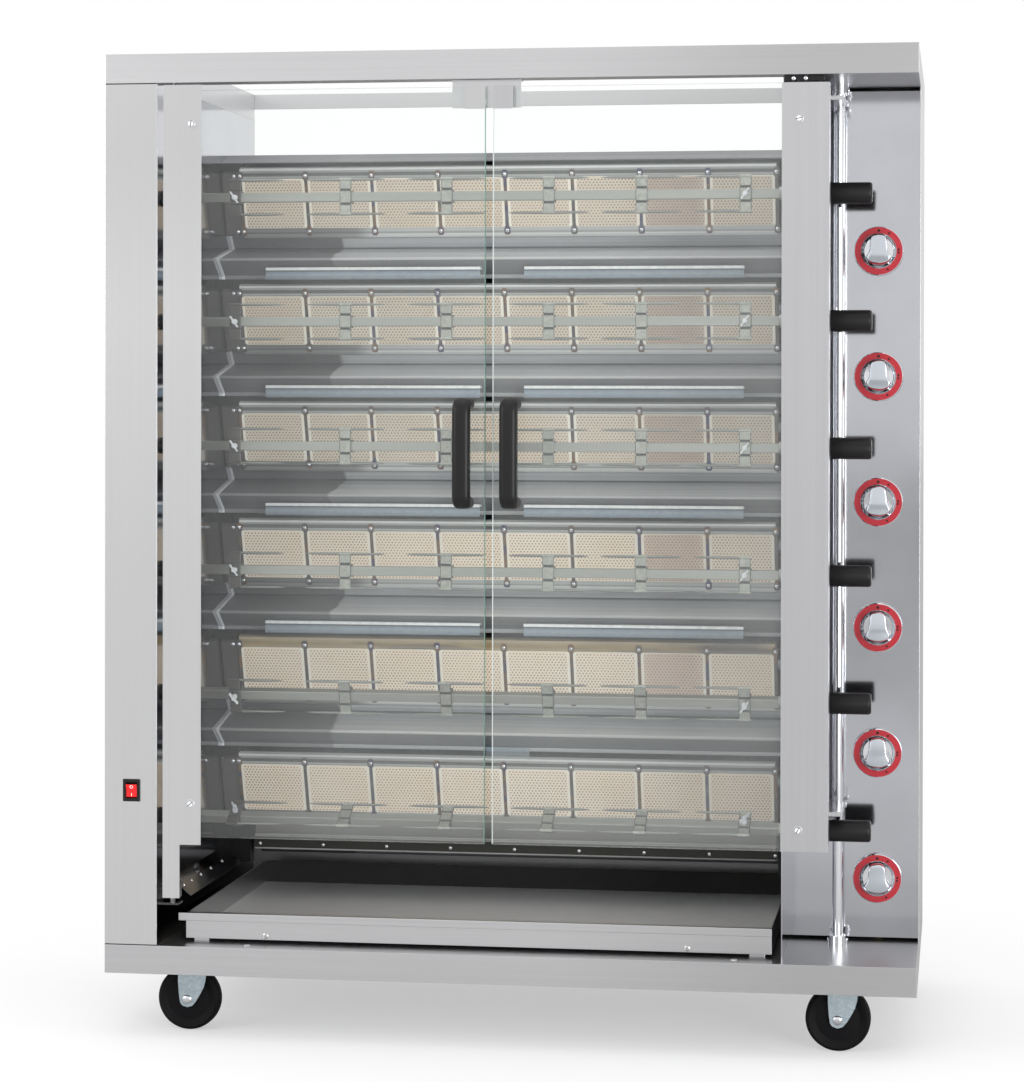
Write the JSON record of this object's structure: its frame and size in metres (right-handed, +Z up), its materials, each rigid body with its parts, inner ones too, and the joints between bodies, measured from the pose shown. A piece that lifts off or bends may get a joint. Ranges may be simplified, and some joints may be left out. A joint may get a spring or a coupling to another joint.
{
  "type": "chicken rotisserie",
  "caption": "Upright gas rotisserie with horizontal spits before infrared burners, two glass doors, tap panel and drip tray.",
  "frame": {"origin": "centre of the whole machine's box on the floor under its castors", "axes": "+Z up, -Y towards the glass doors at the front, +X towards the gas taps on the right"},
  "size_m": [1.16, 0.668, 1.414],
  "materials": {
    "stainless": "brushed",
    "polished_steel": "polished",
    "aluminised_steel": "satin",
    "ceramic": "matt, perforated ceramic",
    "brass": "satin",
    "motor_casting": "cast",
    "dark_steel": "oiled",
    "chrome": "polished",
    "black_plastic": "satin",
    "red_plastic": "gloss",
    "glass": "clear, toughened",
    "zinc_plate": "zinc plated",
    "rubber": "satin"
  },
  "bodies": {
    "root": {"base_frame": "stainless", "roof_frame": "stainless", "drive_front_panel": "stainless", "side_panels": "stainless", "left_inner_wall": "polished_steel", "right_inner_wall": "polished_steel", "control_panel": "polished_steel", "back_panel": "stainless", "burner_uprights": "polished_steel", "burners": "aluminised_steel", "ceramic_tiles": "ceramic", "tile_rails": "polished_steel", "deflectors": "polished_steel", "gas_manifold": "brass", "gear_motor": "motor_casting", "drive_chain": "dark_steel", "post_bearings": "chrome", "switch_bezel": "black_plastic"},
    "motor_sprocket": {"motor_sprocket": "dark_steel"},
    "rocker": {"rocker": "red_plastic"},
    "drip_tray": {"drip_tray": "stainless"},
    "left_door": {"left_glass": "glass", "left_stile": "stainless", "left_handle": "black_plastic"},
    "right_door": {"right_glass": "glass", "right_stile": "stainless", "right_handle": "black_plastic", "hinge_post": "chrome"},
    "spit_1": {"spit_1": "polished_steel", "grip_1": "black_plastic", "hub_1": "dark_steel"},
    "knob_1": {"knob_1": "chrome"},
    "spit_2": {"spit_2": "polished_steel", "grip_2": "black_plastic", "hub_2": "dark_steel"},
    "knob_2": {"knob_2": "chrome"},
    "spit_3": {"spit_3": "polished_steel", "grip_3": "black_plastic", "hub_3": "dark_steel"},
    "knob_3": {"knob_3": "chrome"},
    "spit_4": {"spit_4": "polished_steel", "grip_4": "black_plastic", "hub_4": "dark_steel"},
    "knob_4": {"knob_4": "chrome"},
    "spit_5": {"spit_5": "polished_steel", "grip_5": "black_plastic", "hub_5": "dark_steel"},
    "knob_5": {"knob_5": "chrome"},
    "spit_6": {"spit_6": "polished_steel", "grip_6": "black_plastic", "hub_6": "dark_steel"},
    "knob_6": {"knob_6": "chrome"},
    "castor_front_left": {"fork_front_left": "zinc_plate"},
    "wheel_front_left": {"wheel_front_left": "rubber"},
    "castor_front_right": {"fork_front_right": "zinc_plate"},
    "wheel_front_right": {"wheel_front_right": "rubber"},
    "castor_rear_left": {"fork_rear_left": "zinc_plate"},
    "wheel_rear_left": {"wheel_rear_left": "rubber"},
    "castor_rear_right": {"fork_rear_right": "zinc_plate"},
    "wheel_rear_right": {"wheel_rear_right": "rubber"}
  },
  "joints": [
    {"name": "left_door_hinge", "type": "hinge", "parent": "root", "child": "left_door", "pos_m": [-0.483, -0.277, 0.792], "axis": [0, 0, 1], "range_deg": [-110, 0]},
    {"name": "right_door_hinge", "type": "hinge", "parent": "root", "child": "right_door", "pos_m": [0.464, -0.127, 0.792], "axis": [0, 0, 1], "range_deg": [0, 105]},
    {"name": "tray_slide", "type": "slide", "parent": "root", "child": "drip_tray", "axis": [0, -1, 0], "range_m": [0, 0.35]},
    {"name": "rocker_tilt", "type": "hinge", "parent": "root", "child": "rocker", "pos_m": [-0.54, -0.288, 0.356], "axis": [1, 0, 0], "range_deg": [-16, 0]},
    {"name": "knob_1_turn", "type": "hinge", "parent": "root", "child": "knob_1", "pos_m": [0.52, -0.086, 0.225], "axis": [0, -1, 0], "range_deg": [0, 150]},
    {"name": "knob_2_turn", "type": "hinge", "parent": "root", "child": "knob_2", "pos_m": [0.52, -0.086, 0.407], "axis": [0, -1, 0], "range_deg": [0, 150]},
    {"name": "knob_3_turn", "type": "hinge", "parent": "root", "child": "knob_3", "pos_m": [0.52, -0.086, 0.589], "axis": [0, -1, 0], "range_deg": [0, 150]},
    {"name": "knob_4_turn", "type": "hinge", "parent": "root", "child": "knob_4", "pos_m": [0.52, -0.086, 0.771], "axis": [0, -1, 0], "range_deg": [0, 150]},
    {"name": "knob_5_turn", "type": "hinge", "parent": "root", "child": "knob_5", "pos_m": [0.52, -0.086, 0.953], "axis": [0, -1, 0], "range_deg": [0, 150]},
    {"name": "knob_6_turn", "type": "hinge", "parent": "root", "child": "knob_6", "pos_m": [0.52, -0.086, 1.135], "axis": [0, -1, 0], "range_deg": [0, 150]},
    {"name": "spit_1_turn", "type": "hinge", "parent": "root", "child": "spit_1", "pos_m": [-0.056, -0.172, 0.304], "axis": [1, 0, 0], "continuous": true},
    {"name": "spit_2_turn", "type": "hinge", "parent": "root", "child": "spit_2", "pos_m": [-0.056, -0.172, 0.486], "axis": [1, 0, 0], "continuous": true},
    {"name": "spit_3_turn", "type": "hinge", "parent": "root", "child": "spit_3", "pos_m": [-0.056, -0.172, 0.668], "axis": [1, 0, 0], "continuous": true},
    {"name": "spit_4_turn", "type": "hinge", "parent": "root", "child": "spit_4", "pos_m": [-0.056, -0.172, 0.85], "axis": [1, 0, 0], "continuous": true},
    {"name": "spit_5_turn", "type": "hinge", "parent": "root", "child": "spit_5", "pos_m": [-0.056, -0.172, 1.032], "axis": [1, 0, 0], "continuous": true},
    {"name": "spit_6_turn", "type": "hinge", "parent": "root", "child": "spit_6", "pos_m": [-0.056, -0.172, 1.214], "axis": [1, 0, 0], "continuous": true},
    {"name": "motor_turn", "type": "hinge", "parent": "root", "child": "motor_sprocket", "pos_m": [-0.53, -0.172, 0.395], "axis": [1, 0, 0], "continuous": true},
    {"name": "front_left_swivel", "type": "hinge", "parent": "root", "child": "castor_front_left", "pos_m": [-0.446, -0.217, 0.112], "axis": [0, 0, 1], "continuous": true},
    {"name": "front_left_roll", "type": "hinge", "parent": "castor_front_left", "child": "wheel_front_left", "pos_m": [-0.472, -0.217, 0.046], "axis": [0, 1, 0], "continuous": true},
    {"name": "front_right_swivel", "type": "hinge", "parent": "root", "child": "castor_front_right", "pos_m": [0.495, -0.217, 0.112], "axis": [0, 0, 1], "continuous": true},
    {"name": "front_right_roll", "type": "hinge", "parent": "castor_front_right", "child": "wheel_front_right", "pos_m": [0.469, -0.217, 0.046], "axis": [0, 1, 0], "continuous": true},
    {"name": "rear_left_swivel", "type": "hinge", "parent": "root", "child": "castor_rear_left", "pos_m": [-0.446, 0.235, 0.112], "axis": [0, 0, 1], "continuous": true},
    {"name": "rear_left_roll", "type": "hinge", "parent": "castor_rear_left", "child": "wheel_rear_left", "pos_m": [-0.472, 0.235, 0.046], "axis": [0, 1, 0], "continuous": true},
    {"name": "rear_right_swivel", "type": "hinge", "parent": "root", "child": "castor_rear_right", "pos_m": [0.495, 0.235, 0.112], "axis": [0, 0, 1], "continuous": true},
    {"name": "rear_right_roll", "type": "hinge", "parent": "castor_rear_right", "child": "wheel_rear_right", "pos_m": [0.469, 0.235, 0.046], "axis": [0, 1, 0], "continuous": true}
  ],
  "couplings": [
    {"joint": "spit_2_turn", "follows": "spit_1_turn", "ratio": 1},
    {"joint": "spit_3_turn", "follows": "spit_1_turn", "ratio": 1},
    {"joint": "spit_4_turn", "follows": "spit_1_turn", "ratio": 1},
    {"joint": "spit_5_turn", "follows": "spit_1_turn", "ratio": 1},
    {"joint": "spit_6_turn", "follows": "spit_1_turn", "ratio": 1},
    {"joint": "motor_turn", "follows": "spit_1_turn", "ratio": 1}
  ]
}
